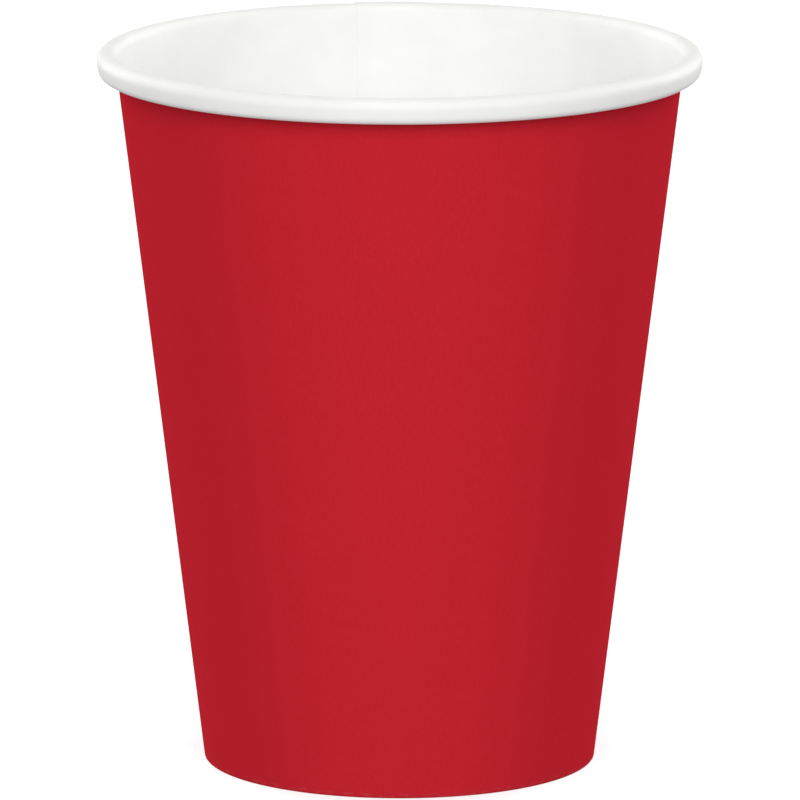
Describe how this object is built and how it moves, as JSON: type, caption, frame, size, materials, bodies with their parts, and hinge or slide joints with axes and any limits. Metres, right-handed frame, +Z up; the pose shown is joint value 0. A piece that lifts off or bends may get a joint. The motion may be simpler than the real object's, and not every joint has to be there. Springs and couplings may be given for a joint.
{
  "type": "paper cup",
  "caption": "Tapered single-wall paper cup with a rolled rim, a lapped side seam and a recessed glued-in bottom, for serving drinks.",
  "frame": {"origin": "centre of the foot, on the surface that the cup stands on", "axes": "+Z up along the cup's axis, +Y away from the picture's camera and towards the lap seam, +X to the camera's right"},
  "size_m": [0.08, 0.0801, 0.0956],
  "materials": {
    "printed_cup_board": "red print with a satin varnish outside, white polyethylene-coated board inside and on the rim",
    "white_cup_board": "white polyethylene-coated board above, plain board below"
  },
  "bodies": {
    "root": {"sidewall": "printed_cup_board", "bottom_disc": "white_cup_board"}
  },
  "joints": []
}
